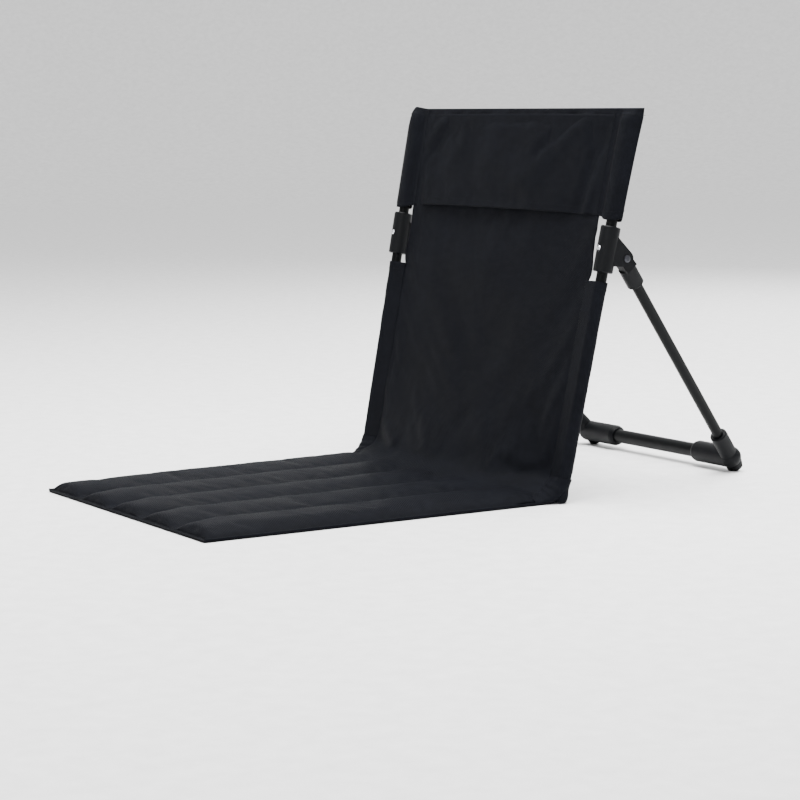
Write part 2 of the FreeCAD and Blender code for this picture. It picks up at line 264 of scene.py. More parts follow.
def cloth_piece(name, columns, rows, flat, place, closed=False):
    """A woven sheet: a grid that place(across, run) lays out, with its threads in a UV map in metres."""
    bm = bmesh.new()
    weave = bm.loops.layers.uv.new("weave")
    cut = bm.verts.layers.float_vector.new("cut")
    bmesh.ops.create_grid(bm, x_segments=columns, y_segments=rows, size=0.5)
    for vert in bm.verts:
        vert[cut] = vert.co + Vector((0.5, 0.5, 0))
    for face in bm.faces:
        for loop in face.loops:
            share = loop.vert[cut]
            loop[weave].uv = (share.x * flat[0], share.y * flat[1])
    for vert in bm.verts:
        vert.co = place(vert[cut].x, vert[cut].y)
    if closed:
        bmesh.ops.remove_doubles(bm, verts=bm.verts, dist=0.01 * MM)
    return keep(name, bm)


def cut_places(piece):
    """Each vertex's place on the flat cut, from 0 to 1 both ways."""
    return [datum.vector.copy() for datum in piece.data.attributes["cut"].data]


def at_edge(share):
    """Whether a place is on either edge, as a share of the way across."""
    return share < 0.005 or share > 0.995


def settle(piece, held, slack, pressure, weight, frames, most):
    """Lets cloth with a little slack buckle for a few frames, with its sewn points held."""
    scene = bpy.context.scene
    group = piece.vertex_groups.new(name="sewn")
    group.add(held, 1.0, "REPLACE")
    cloth = piece.modifiers.new("settle", "CLOTH")
    rules = cloth.settings
    rules.vertex_group_mass = group.name
    rules.quality = 6
    rules.mass = 0.1
    rules.tension_stiffness = 25
    rules.compression_stiffness = 25
    rules.shear_stiffness = 8
    rules.bending_stiffness = 0.6
    rules.shrink_min = -slack
    rules.use_pressure = pressure != 0
    rules.uniform_pressure_force = pressure
    rules.effector_weights.gravity = weight
    cloth.collision_settings.use_collision = False
    cloth.point_cache.frame_start = 1
    cloth.point_cache.frame_end = frames
    for number in range(1, frames + 1):
        scene.frame_set(number)
    settled = piece.evaluated_get(bpy.context.evaluated_depsgraph_get()).data
    moved = [vert.co.copy() for vert in settled.vertices]
    piece.modifiers.remove(cloth)
    piece.vertex_groups.remove(group)
    for vert, place in zip(piece.data.vertices, moved):
        step = place - vert.co
        if step.length > 0:
            vert.co = vert.co + step * (most * math.tanh(step.length / most) / step.length)
    piece.data.update()
    scene.frame_set(1)


def smooth_once(piece):
    """Gives a piece one round of subdivision."""
    rounds = piece.modifiers.new("smooth", "SUBSURF")
    rounds.levels = 1
    rounds.render_levels = 1


def thicken(piece, thickness):
    """Gives cloth one round of subdivision and its thickness, inwards from its face."""
    smooth_once(piece)
    solid = piece.modifiers.new("thickness", "SOLIDIFY")
    solid.thickness = thickness
    solid.offset = -1.0


def surface_under(piece):
    """A tree of a piece's mesh for looking straight down on it."""
    bm = bmesh.new()
    bm.from_mesh(piece.data)
    tree = BVHTree.FromBMesh(bm)
    bm.free()
    return tree


def dress(piece, material):
    """Gives a piece its material."""
    piece.data.materials.append(material)


# Materials
def add_node(tree, kind, inputs=None, **settings):
    """Adds a shader node, sets its fields, and sets or links its inputs."""
    node = tree.nodes.new(kind)
    for field, value in settings.items():
        setattr(node, field, value)
    for socket, value in (inputs or {}).items():
        if isinstance(value, bpy.types.NodeSocket):
            tree.links.new(value, node.inputs[socket])
        else:
            node.inputs[socket].default_value = value
    return node


def new_material(name):
    material = bpy.data.materials.new(name)
    material.use_nodes = True
    tree = material.node_tree
    return material, tree, tree.nodes["Principled BSDF"]


def opaque(rgb, share):
    """A colour lightened or darkened by a share, with full alpha."""
    return tuple(min(1.0, c * share) for c in rgb) + (1.0,)


# Scale that gives a wave texture one wave in each metre
WAVE_TURN = 2 * math.pi / 20
# Threads of the cloth are about 0.5 mm apart, and are drawn this far apart so that they show
SHOWN_THREAD = 1.6 * MM


def woven_cloth(name, rgb, thread, rough):
    """Plain weave from the UV map: warp and weft cross over in checks one thread wide, with painted shade
    between the threads.
    """
    material, tree, shader = new_material(name)
    place = add_node(tree, "ShaderNodeTexCoord")
    flat = place.outputs["UV"]
    spot = place.outputs["Object"]
    warp = add_node(tree, "ShaderNodeTexWave", {"Vector": flat, "Scale": WAVE_TURN / thread},
                    bands_direction="X")
    weft = add_node(tree, "ShaderNodeTexWave", {"Vector": flat, "Scale": WAVE_TURN / thread},
                    bands_direction="Y")
    over = add_node(tree, "ShaderNodeTexChecker", {"Vector": flat, "Scale": 1 / thread})
    weave = add_node(tree, "ShaderNodeMix", {"Factor": over.outputs["Fac"], "A": warp.outputs["Fac"],
                                             "B": weft.outputs["Fac"]})
    slub = add_node(tree, "ShaderNodeTexNoise", {"Vector": spot, "Scale": 1 / (9 * MM), "Detail": 3.0})
    cloud = add_node(tree, "ShaderNodeTexNoise", {"Vector": spot, "Scale": 1 / (70 * MM), "Detail": 2.0})
    tone = add_node(tree, "ShaderNodeMath", {0: cloud.outputs["Fac"], 1: slub.outputs["Fac"]},
                    operation="ADD")
    # Painted shade: the weave's height paints the threads' crowns lighter and the hollows between them
    # darker, added to random tone from the two noises
    lit = add_node(tree, "ShaderNodeMath", {0: weave.outputs["Result"], 1: 0.35,
                                            2: tone.outputs["Value"]}, operation="MULTIPLY_ADD")
    ramp = add_node(tree, "ShaderNodeMapRange", {"Value": lit.outputs["Value"], "From Min": 0.7,
                                                 "From Max": 1.6, "To Min": 0.0, "To Max": 1.0})
    shade = add_node(tree, "ShaderNodeMix", {"Factor": ramp.outputs["Result"], "A": opaque(rgb, 0.75),
                                             "B": opaque(rgb, 1.35)}, data_type="RGBA")
    tree.links.new(shade.outputs["Result"], shader.inputs["Base Color"])
    uneven = 0.06
    gloss = add_node(tree, "ShaderNodeMapRange", {"Value": cloud.outputs["Fac"], "From Min": 0.3,
                                                  "From Max": 0.7, "To Min": rough - uneven,
                                                  "To Max": rough + uneven})
    tree.links.new(gloss.outputs["Result"], shader.inputs["Roughness"])
    loose = add_node(tree, "ShaderNodeBump", {"Height": slub.outputs["Fac"], "Strength": 0.35,
                                              "Distance": 0.6 * MM})
    threads = add_node(tree, "ShaderNodeBump", {"Height": weave.outputs["Result"], "Strength": 0.6,
                                                "Distance": 0.35 * MM, "Normal": loose.outputs["Normal"]})
    tree.links.new(threads.outputs["Normal"], shader.inputs["Normal"])
    return material, shader


def oxford_cloth():
    """Black polyester oxford with a coated back: a soft satin that brightens at a low angle."""
    material, shader = woven_cloth("black_oxford_cloth", finish_colours().cloth,
                                   thread=SHOWN_THREAD, rough=0.5)
    shader.inputs["Specular IOR Level"].default_value = 0.02
    shader.inputs["Sheen Weight"].default_value = 0.003
    shader.inputs["Sheen Roughness"].default_value = 0.4
    return material


def coated_sheet():
    """Black polyester with a thick waterproof coating: smoother and duller than the cloth."""
    material, shader = woven_cloth("coated_ground_sheet", finish_colours().ground,
                                   thread=SHOWN_THREAD, rough=0.5)
    shader.inputs["Specular IOR Level"].default_value = 0.1
    return material


def sewing_thread():
    """Spun polyester thread: matt, with the twist of its plies shown as painted shade in bands."""
    material, tree, shader = new_material("spun_polyester_thread")
    spot = add_node(tree, "ShaderNodeTexCoord").outputs["Object"]
    ply = 0.8 * MM
    twist = add_node(tree, "ShaderNodeTexWave", {"Vector": spot, "Scale": WAVE_TURN / ply},
                     bands_direction="DIAGONAL")
    rgb = finish_colours().thread
    # Painted shade: the twist shows as lighter and darker diagonal bands, the plies' crowns painted
    # lighter and the grooves between them darker
    shade = add_node(tree, "ShaderNodeMix", {"Factor": twist.outputs["Fac"], "A": opaque(rgb, 0.8),
                                             "B": opaque(rgb, 1.2)}, data_type="RGBA")
    tree.links.new(shade.outputs["Result"], shader.inputs["Base Color"])
    shader.inputs["Roughness"].default_value = 0.7
    shader.inputs["Specular IOR Level"].default_value = 0.06
    return material


def speckled(name, rgb, grain, depth, rough, uneven):
    """An even finish with a fine grain in its surface and slow changes in its gloss."""
    material, tree, shader = new_material(name)
    spot = add_node(tree, "ShaderNodeTexCoord").outputs["Object"]
    fine = add_node(tree, "ShaderNodeTexNoise", {"Vector": spot, "Scale": 1 / grain, "Detail": 2.0})
    slow = add_node(tree, "ShaderNodeTexNoise", {"Vector": spot, "Scale": 1 / (25 * MM), "Detail": 3.0})
    shade = add_node(tree, "ShaderNodeMix", {"Factor": slow.outputs["Fac"], "A": opaque(rgb, 0.85),
                                             "B": opaque(rgb, 1.15)}, data_type="RGBA")
    tree.links.new(shade.outputs["Result"], shader.inputs["Base Color"])
    gloss = add_node(tree, "ShaderNodeMapRange", {"Value": slow.outputs["Fac"], "From Min": 0.3,
                                                  "From Max": 0.7, "To Min": rough - uneven,
                                                  "To Max": rough + uneven})
    tree.links.new(gloss.outputs["Result"], shader.inputs["Roughness"])
    bump = add_node(tree, "ShaderNodeBump", {"Height": fine.outputs["Fac"], "Strength": 0.5,
                                             "Distance": depth})
    tree.links.new(bump.outputs["Normal"], shader.inputs["Normal"])
    return material, shader


def powder_coat():
    """Satin black powder coat on steel tube: a soft highlight with a slight orange peel."""
    material, shader = speckled("satin_powder_coat", finish_colours().paint,
                                grain=1.6 * MM, depth=0.05 * MM, rough=0.36, uneven=0.05)
    shader.inputs["Specular IOR Level"].default_value = 0.07
    return material


def moulded_nylon():
    """Injection moulded nylon with an eroded grain: matt and a little greyer than the paint."""
    material, shader = speckled("moulded_nylon", finish_colours().plastic,
                                grain=0.9 * MM, depth=0.06 * MM, rough=0.46, uneven=0.05)
    shader.inputs["Specular IOR Level"].default_value = 0.09
    return material


def plated_steel():
    """Nickel plated steel rivets: bright, with a fine drawn grain."""
    material, shader = speckled("nickel_plated_steel", finish_colours().rivet,
                                grain=0.7 * MM, depth=0.03 * MM, rough=0.24, uneven=0.05)
    shader.inputs["Metallic"].default_value = 1.0
    return material


def blackened_steel():
    """Blackened steel hinge pins: a dark metal with an oiled sheen."""
    material, shader = speckled("blackened_steel", finish_colours().pin,
                                grain=0.8 * MM, depth=0.03 * MM, rough=0.4, uneven=0.06)
    shader.inputs["Metallic"].default_value = 1.0
    return material


def studio_paper():
    """Seamless white paper: matt, with barely visible fibres."""
    material, shader = speckled("white_studio_paper", finish_colours().floor,
                                grain=60 * MM, depth=0.02 * MM, rough=0.85, uneven=0.03)
    shader.inputs["Specular IOR Level"].default_value = 0.1
    return material


MADE = {}


def shared(make):
    """The material that a function makes, made once."""
    name = make.__name__
    if name not in MADE:
        MADE[name] = make()
    return MADE[name]


# Quilted mat
CHANNEL_COLUMNS = 18
BORDER_COLUMNS = 2
MIDDLE_ROWS = 88
MAT_UNDERSIDE = 0.9 * MM


def hem_front():
    """Front edge of the mat's hem."""
    sizes = mat_sizes()
    return MAT_FRONT - sizes.nose - sizes.hem


def mat_columns():
    return mat_sizes().channels * CHANNEL_COLUMNS + 2 * BORDER_COLUMNS


def mat_rows():
    """Places of the grid's rows along the mat, close together at its rounded ends."""
    from_front = (0, 1.5, 3, 3.6, 4.6, 6, 8, 10.5, 13.5, 17.5, 23, 30)
    from_rear = (26, 20, 15, 11, 8, 5.5, 3.5, 2, 0.8, 0)
    rows = [hem_front() + d * MM for d in from_front]
    rear = [MAT_REAR - d * MM for d in from_rear]
    rows += [mix(rows[-1], rear[0], i / MIDDLE_ROWS) for i in range(1, MIDDLE_ROWS)]
    return rows + rear


def mat_across(share):
    """Channel count from the right edge, below 0 and above the last in the borders."""
    return (round(share * mat_columns()) - BORDER_COLUMNS) / CHANNEL_COLUMNS


def mat_place(rows):
    """Where the mat's top cloth lies: crowned channels between sewn seams, rounded off at both ends."""
    sizes = mat_sizes()
    crowding = 0.45
    seam_wander = 1.0 * MM
    lumps = 0.04
    front_valley = 0.1
    steep_side = 5
    soft_side = 2.2

    def place(across, run):
        y = rows[round(run * (len(rows) - 1))]
        count = mat_across(across)
        inside = min(max(count, 0.0), float(sizes.channels))
        index = min(int(inside), sizes.channels - 1)
        share = inside - index
        share = mix(share, (1 - math.cos(math.pi * share)) / 2, crowding)
        x = (mat_half(y) - sizes.border) * (2 * (index + share) / sizes.channels - 1)
        in_border = (inside - count) * CHANNEL_COLUMNS / BORDER_COLUMNS
        x -= in_border * sizes.border
        x += seam_wander * ripple(y, index + round(share), wave=0.12, seed=4.0)
        from_nose = y - MAT_FRONT + sizes.nose
        from_rear = MAT_REAR - y
        outermost = count < 0.5 or count > sizes.channels - 0.5
        valley = sizes.valley * mix(front_valley, 1.0, ease(4 * MM, 60 * MM, from_nose))
        off_crown = abs(2 * share - 1)
        rise = 1 - off_crown ** steep_side if outermost else 1 - (1 - valley) * off_crown ** soft_side
        rise *= 1 + lumps * ripple(y, index * 3.1, wave=0.09, seed=7.0)
        to_full = 1 - min(1.0, max(0.0, from_nose / sizes.pillow))
        front = math.sqrt(max(0.0, 1 - to_full ** 2))
        rear = 0.7 * ease(0, 4 * MM, from_rear) + 0.3 * ease(0, 20 * MM, from_rear)
        sewn = (1 - abs(in_border)) * ease(-0.6 * sizes.hem, 0, from_nose) * ease(0, 3 * MM, from_rear)
        low = mix(sizes.binding, sizes.seam, sewn)
        return Vector((x, y, low + (sizes.crown - sizes.seam) * rise * front * rear))

    return place


def close_below(piece, floor_z):
    """Gives a sheet walls down from its edge and a flat underside."""
    bm = bmesh.new()
    bm.from_mesh(piece.data)
    made = bmesh.ops.extrude_face_region(bm, geom=bm.faces[:], use_keep_orig=True)["geom"]
    for part in made:
        if isinstance(part, bmesh.types.BMVert):
            part.co.z = floor_z
    bmesh.ops.recalc_face_normals(bm, faces=bm.faces)
    bm.to_mesh(piece.data)
    bm.free()
    piece.data.shade_smooth()


class FLOORCHAIR_OT_mat(bpy.types.Operator):
    """Makes the padded mat with its sewn channels and rounded front ends"""
    bl_idname = "floor_chair.mat"
    bl_label = "Quilted mat"

    def execute(self, context):
        sizes = mat_sizes()
        rows = mat_rows()
        flat = (sizes.rear_width, rows[-1] - rows[0])
        pad = cloth_piece("seat_pad", mat_columns(), len(rows) - 1, flat, mat_place(rows))
        hem_rows = 3
        held = []
        for index, share in enumerate(cut_places(pad)):
            count = mat_across(share.x)
            row = round(share.y * (len(rows) - 1))
            at_seam = count <= 0 or count >= sizes.channels or count == round(count)
            if at_seam or row < hem_rows or row >= len(rows) - hem_rows:
                held.append(index)
        settle(pad, held, slack=0.007, pressure=1.0, weight=0.0, frames=14, most=2.0 * MM)
        stitch_mat(pad)
        close_below(pad, MAT_UNDERSIDE)
        smooth_once(pad)
        dress(pad, shared(oxford_cloth))
        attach(pad, "seat")
        strips = ["seat_foam_strip_" + str(i + 1) for i in range(sizes.channels)]
        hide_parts("seat_top_cover", *strips)
        return {"FINISHED"}


class FLOORCHAIR_OT_ground_sheet(bpy.types.Operator):
    """Makes the coated sheet under the mat"""
    bl_idname = "floor_chair.ground_sheet"
    bl_label = "Ground sheet"

    def execute(self, context):
        front = hem_front()
        edge = 0.5 * MM
        level = 0.95 * MM
        uneven = 0.15 * MM
        thickness = 0.7 * MM
        cells = 60

        def place(across, run):
            y = mix(front - edge, MAT_REAR, run)
            x = (2 * across - 1) * (mat_half(y) + edge)
            return Vector((x, y, level + uneven * ripple(x, y, wave=0.05, seed=2.0)))

        flat = (mat_sizes().rear_width, MAT_REAR - front)
        sheet = cloth_piece("mat_ground_sheet", cells, cells, flat, place)
        thicken(sheet, thickness)
        dress(sheet, shared(coated_sheet))
        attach(sheet, "seat")
        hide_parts("seat_ground_sheet")
        return {"FINISHED"}


# Back cloth, from the rear of the mat up to the top hem
PANEL_COLUMNS = 84
PANEL_ROWS = 112
# Length of the cut cloth in metres, and the share of it that lies on the mat
PANEL_LENGTH = 0.53
PANEL_ON_MAT = 0.087
# Height, start and end across and up the back, and width of each fold in millimetres
PANEL_FOLDS = (
    (4.5, (-190, 36), (-142, 20), 13),
    (-3.0, (-190, 18), (-120, 4), 9),
    (5.0, (60, 52), (110, 30), 34),
    (2.0, (-80, 40), (-10, 34), 26),
    (-2.0, (-10, 24), (10, 70), 18),
    (3.0, (140, 34), (190, 18), 12),
    (-3.0, (165, 14), (202, 22), 8),
    (2.0, (176, 6), (204, 12), 6),
    (1.6, (-200, 262), (-70, 190), 28),
    (1.6, (196, 262), (90, 200), 28),
)


def panel_outline(points):
    """The cloth's rows along a line of (behind, up) places in millimetres."""
    return even_steps([Vector((behind * MM, up * MM, 0)) for behind, up in points], PANEL_ROWS)


def panel_half(up, side):
    """Half the cloth's width: full over the mat, tucked into the sleeves, free beside the collars."""
    sizes = back_sizes()
    mat_inset = 4 * MM
    flare = 7 * MM
    crinkle_reach = 3.6 * MM
    half = mix(mat_half(MAT_REAR) - mat_inset, seam_x(up) + sizes.tuck, ease(-4 * MM, 16 * MM, up))
    middle = (sizes.hood_low + sizes.sleeve_high) / 2
    share = (up - middle) / ((sizes.hood_low - sizes.sleeve_high) / 2)
    free = sizes.left_ease if side > 0 else sizes.right_ease
    free += flare * ease(0.2, -1.0, share)
    crinkle = crinkle_reach * ripple(up, side, wave=0.016, seed=8.0)
    return half + (free - sizes.tuck + crinkle) * max(0.0, 1 - share ** 6)


def panel_folds(x, up):
    """How far the cloth stands forward of its smooth shape, in slack folds low on the back."""
    out = fold_height(PANEL_FOLDS, x, up)
    out += 3.2 * ripple(x, up, wave=0.11, seed=1.0) + 0.9 * ripple(x, up, wave=0.05, seed=3.0)
    return out * MM


def panel_place(pad):
    """Where the back cloth lies: a sweep out of the mat down its middle, straight up beside its seams."""
    upper = [(3, 120), (5.5, 180), (1, 255), (0, 290), (6, 345), (6, 400), (4, 477)]
    middle = panel_outline([(-67.4, -22), (-51.7, -14), (-36.1, -5.6), (-25.4, 1.8), (-18.7, 10.8),
                            (-14.8, 24), (-10.5, 42), (-3, 75)] + upper)
    border = panel_outline([(-67.4, -22), (-50, -18), (-33, -13), (-16, -8), (-3, 0), (6, 12),
                            (9, 30), (9, 75)] + [(9, up) for _, up in upper])
    mat = surface_under(pad)
    above = 100 * MM
    near_mat = 40 * MM
    tucked_rows = 5
    sunk = 0.6
    border_power = 2.6
    seam_power = 6
    slack_starts, slack_full = -8 * MM, 14 * MM
    slack_fades, slack_ends = 440 * MM, 477 * MM

    def place(across, run):
        row = round(run * PANEL_ROWS)
        side = 2 * across - 1
        spot = middle[row].lerp(border[row], abs(side) ** border_power)
        behind, up = spot.x, spot.y
        x = side * panel_half(up, side)
        slack = ease(slack_starts, slack_full, up) * ease(slack_ends, slack_fades, up)
        behind -= panel_folds(x, up) * (1 - abs(side) ** seam_power) * slack
        point = back_point(x, behind, up)
        hit = mat.ray_cast(Vector((point.x, point.y, above)), Vector((0, 0, -1)))[0]
        if hit is not None and up < near_mat:
            rest = hit.z + mix(-sunk, sunk, min(1.0, row / tucked_rows)) * MM
            point.z = max(point.z, rest)
            point.z = mix(point.z, rest, ease(0.86, 0.99, abs(side)) * ease(8 * MM, -6 * MM, up))
        return point

    return place


class FLOORCHAIR_OT_back_cloth(bpy.types.Operator):
    """Makes the back cloth with its slack folds, run down over the fold onto the mat"""
    bl_idname = "floor_chair.back_cloth"
    bl_label = "Back cloth"

    def execute(self, context):
        sizes = back_sizes()
        flat = (2 * seam_x(sizes.sleeve_high), PANEL_LENGTH)
        place = panel_place(bpy.data.objects["seat_pad"])
        cloth = cloth_piece("back_cloth", PANEL_COLUMNS, PANEL_ROWS, flat, place)
        fold_rows = 14
        top_rows = 3
        held = []
        for index, share in enumerate(cut_places(cloth)):
            row = round(share.y * PANEL_ROWS)
            up = (share.y - PANEL_ON_MAT) * flat[1]
            beside_collar = sizes.sleeve_high < up < sizes.hood_low
            sewn = at_edge(share.x) and not beside_collar
            if row < fold_rows or row > PANEL_ROWS - top_rows or sewn:
                held.append(index)
        settle(cloth, held, slack=0.0012, pressure=0.0, weight=0.05, frames=16, most=4 * MM)
        thicken(cloth, sizes.cloth)
        dress(cloth, shared(oxford_cloth))
        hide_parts("back_panel", "fold_seam")
        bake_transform(cloth)
        return {"FINISHED"}


# Sleeves round the uprights
SLEEVE_COLUMNS = 34
SLEEVE_ROWS = 58
# Width of the cut cloth in metres
SLEEVE_CUT = 0.092
SIDES = (("left", 1), ("right", -1))


def sleeve_section(share, up, radius):
    """Across and behind of a place round a sleeve, from its seam over the front and back to its seam."""
    sizes = back_sizes()
    centre = Vector((upright_x(up), sizes.upright_behind))
    tip = Vector((seam_x(up), sizes.seam_behind))
    reach = tip - centre
    turn = math.acos(radius / reach.length)
    start = math.atan2(reach.y, reach.x)
    front = start + turn
    rear = start - turn + 2 * math.pi
    straight = math.sqrt(reach.length_squared - radius * radius)
    arc = radius * (rear - front)
    run = share * (2 * straight + arc)
    if run < straight:
        touch = centre + radius * Vector((math.cos(front), math.sin(front)))
        return tip.lerp(touch, run / straight)
    if run > straight + arc:
        touch = centre + radius * Vector((math.cos(rear), math.sin(rear)))
        return touch.lerp(tip, (run - straight - arc) / straight)
    angle = front + (run - straight) / radius
    return centre + radius * Vector((math.cos(angle), math.sin(angle)))


def sleeve_place(side):
    """Where a sleeve lies: round its upright, puckered at the fold and turned in at its upper hem."""
    sizes = back_sizes()
    lowest = 1.0 * MM
    hem_rise = 0.5 * MM
    pucker_rise = 0.7 * MM
    pucker_pitch = 2.6 * MM
    wrinkle_rise = 0.55 * MM

    def place(across, run):
        share = across if side > 0 else 1 - across
        up = mix(sizes.sleeve_low, sizes.sleeve_high, run)
        loose = math.sin(math.pi * share)
        hem = hem_rise * ease(sizes.sleeve_high - 13 * MM, sizes.sleeve_high - 11 * MM, up)
        pucker = pucker_rise * swell(up, 0.0, 0.03) * math.sin(up / pucker_pitch + 5 * share)
        wrinkle = wrinkle_rise * ripple(share * 0.05, up, wave=0.022, seed=5.0 + side)
        spot = sleeve_section(share, up, sizes.sleeve_radius + (hem + pucker + wrinkle) * loose)
        point = back_point(side * spot.x, spot.y, up)
        point.z = max(point.z, lowest)
        return point

    return place


class FLOORCHAIR_OT_sleeves(bpy.types.Operator):
    """Makes the two cloth sleeves round the lower uprights"""
    bl_idname = "floor_chair.sleeves"
    bl_label = "Back sleeves"

    def execute(self, context):
        sizes = back_sizes()
        for word, side in SIDES:
            flat = (SLEEVE_CUT, sizes.sleeve_high - sizes.sleeve_low)
            sleeve = cloth_piece(word + "_back_sleeve_cloth", SLEEVE_COLUMNS, SLEEVE_ROWS, flat,
                                 sleeve_place(side), closed=True)
            thicken(sleeve, sizes.cloth)
            dress(sleeve, shared(oxford_cloth))
            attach(sleeve, "backrest")
            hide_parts(word + "_back_sleeve")
        return {"FINISHED"}


# Soft corners where the mat's rear meets the foot of a sleeve
CORNER_ROWS = 22
# Width and length of the cut cloth in metres
CORNER_CUT = (0.095, 0.062)


def corner_place(side):
    """Where a corner lies: a gathered tube from the mat's rear, round a bend and up onto the sleeve."""
    sizes = back_sizes()
    lowest = 0.9 * MM
    wrap = 1.0 * MM
    wrap_up = 18 * MM
    start_y = MAT_REAR - 12 * MM
    start_inset, start_reach = 17 * MM, 15 * MM
    bend_inset, bend_reach = 16 * MM, 25 * MM
    gather = 0.8 * MM

    def place(across, run):
        share = across if side > 0 else 1 - across
        angle = math.pi - 2 * math.pi * share
        out, over = math.cos(angle), math.sin(angle)
        half = mat_half(MAT_REAR)
        low = Vector((half - start_inset + start_reach * out, start_y, (5 - 1.5 * out + 4 * over) * MM))
        spot = sleeve_section(share, wrap_up, sizes.sleeve_radius + wrap)
        high = back_point(spot.x, spot.y, wrap_up)
        bend = Vector((half - bend_inset + bend_reach * out, FOLD.y + (4 - 8 * over) * MM,
                       (1 + 13 * over) * MM))
        point = low.lerp(bend, run).lerp(bend.lerp(high, run), run)
        fold = gather * math.sin(9 * math.pi * run + 2 * out) * math.sin(math.pi * run)
        point += Vector((0, -0.5 * fold, fold)) * (0.5 + 0.5 * over)
        point.z = max(point.z, lowest)
        point.x *= side
        return point

    return place


class FLOORCHAIR_OT_corners(bpy.types.Operator):
    """Makes the gathered cloth corners at the foot of each sleeve"""
    bl_idname = "floor_chair.corners"
    bl_label = "Gathered corners"

    def execute(self, context):
        sizes = back_sizes()
        for word, side in SIDES:
            flat = CORNER_CUT
            corner = cloth_piece(word + "_corner_tuck", SLEEVE_COLUMNS, CORNER_ROWS, flat,
                                 corner_place(side), closed=True)
            thicken(corner, sizes.cloth)
            dress(corner, shared(oxford_cloth))
            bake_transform(corner)
        return {"FINISHED"}


# Hood over the top of the back
HOOD_FRONT_COLUMNS = 88
HOOD_SIDE_COLUMNS = 10
HOOD_ROWS = 30
HOOD_COLUMNS = 2 * HOOD_FRONT_COLUMNS + 4 * HOOD_SIDE_COLUMNS
# Width of the cut cloth in metres, and the share of its height above which it closes to the top hem
HOOD_CUT = 1.05
HOOD_CLOSING = 0.8
HOOD_STRETCHES = (("right front", HOOD_SIDE_COLUMNS), ("front", HOOD_FRONT_COLUMNS),
                  ("left front", HOOD_SIDE_COLUMNS), ("left rear", HOOD_SIDE_COLUMNS),
                  ("rear", HOOD_FRONT_COLUMNS), ("right rear", HOOD_SIDE_COLUMNS))
# Height, start and end across and up the back, and width of each fold in millimetres
HOOD_FOLDS = (
    (-3.6, (-212, 405), (-135, 470), 11),
    (2.6, (-205, 440), (-165, 474), 10),
    (2.0, (-190, 372), (-110, 440), 18),
    (-3.0, (70, 425), (135, 476), 9),
    (2.2, (120, 440), (165, 474), 12),
    (1.4, (160, 360), (178, 430), 8),
    (-1.5, (176, 356), (190, 420), 7),
    (1.2, (193, 352), (203, 410), 7),
    (2.5, (40, 385), (90, 420), 24),
    (-2.5, (-60, 356), (40, 362), 16),
)


def hood_column(across):
    """Which stretch of the hood's loop a column is in, and how far along it."""
    column = round(across * HOOD_COLUMNS)
    for name, count in HOOD_STRETCHES:
        if column <= count:
            return name, column / count
        column -= count
    return "right rear", 1.0


def hood_folds(x, up):
    """How far the hood's front stands forward of its smooth shape."""
    out = fold_height(HOOD_FOLDS, x, up)
    out += 2.4 * ripple(x, up, wave=0.07, seed=11.0) + 0.9 * ripple(x, up, wave=0.03, seed=12.0)
    return out * MM


def hood_panel(stretch, share, run, up, seam, apart):
    """A point of the hood's front or rear, which hang slack between the two sewn seams."""
    front_belly = 12 * MM
    rear_belly = 5 * MM
    rear_folds = 1.5 * MM
    side = 2 * share - 1 if stretch == "front" else 1 - 2 * share
    x = side * seam.x
    free = (1 - side * side) * (1 - ease(HOOD_CLOSING, 1.0, run))
    if stretch == "front":
        wide = (1 - side ** 6) * ease(1.0, 0.85, run)
        behind = seam.y - apart - front_belly * free * mix(1.0, 0.6, run) - hood_folds(x, up) * wide
        up += (2.5 * (1 - side ** 4) + 1.2 * ripple(x, 0.0, wave=0.08, seed=6.0)) * MM * (1 - run)
    else:
        behind = seam.y + apart + rear_belly * free * mix(1.0, 0.7, run)
        behind += rear_folds * ripple(x, up, wave=0.06, seed=9.0) * free
    return back_point(x, behind, up)


def hood_side(stretch, share, run, up, seam, apart):
    """A point of the hood outboard of a seam: round the upright, then flat to its outer edge."""
    sizes = back_sizes()
    side = -1 if "right" in stretch else 1
    outward = share if stretch in ("left front", "right rear") else 1 - share
    axis = upright_x(up)
    corner = 0.86
    right_cut = 14 * MM
    right_rise = 3 * MM
    wrinkle_rise = 0.5 * MM
    if side < 0:
        cut = right_cut * max(0.0, (run - corner) / (1 - corner))
    else:
        cut = -(4 * run + 3 * run ** 4) * MM
    outer = axis + sizes.hood_overhang - cut
    x = mix(seam.x, outer, outward)
    closing = ease(0.9, 1.0, run)
    round_x = (x - axis) / (sizes.sleeve_radius * 2.1)
    bulge = max(0.0, 1 - round_x * round_x) ** 0.5 * sizes.sleeve_radius * (1 - closing)
    onto_tube = math.sin(math.pi / 2 * min(1.0, outward * 1.7)) * (1 - closing)
    middle = mix(seam.y, sizes.upright_behind, onto_tube)
    thin = apart * (1 - 0.9 * ease(0.9, 1.0, outward))
    behind = middle - max(bulge, thin) if "front" in stretch else middle + max(bulge, thin)
    up -= (5 * ease(0.1, 0.5, outward) - 4 * ease(0.75, 1.0, outward)) * MM * (1 - run) ** 3
    if side < 0:
        up += right_rise * ease(0.0, 1.0, outward) * ease(corner, 1.0, run)
    behind += wrinkle_rise * ripple(x, up, wave=0.025, seed=14.0 + side) * math.sin(math.pi * outward)
    return back_point(side * x, behind, up)


def hood_place(across, run):
    """Where the hood lies: a loop round the back that closes towards its top hem."""
    sizes = back_sizes()
    stretch, share = hood_column(across)
    up = mix(sizes.hood_low, sizes.top, run)
    seam = Vector((seam_x(up), sizes.seam_behind))
    apart = mix(0.9 * MM, 0.5 * MM, ease(HOOD_CLOSING, 1.0, run))
    make = hood_panel if stretch in ("front", "rear") else hood_side
    return make(stretch, share, run, up, seam, apart)


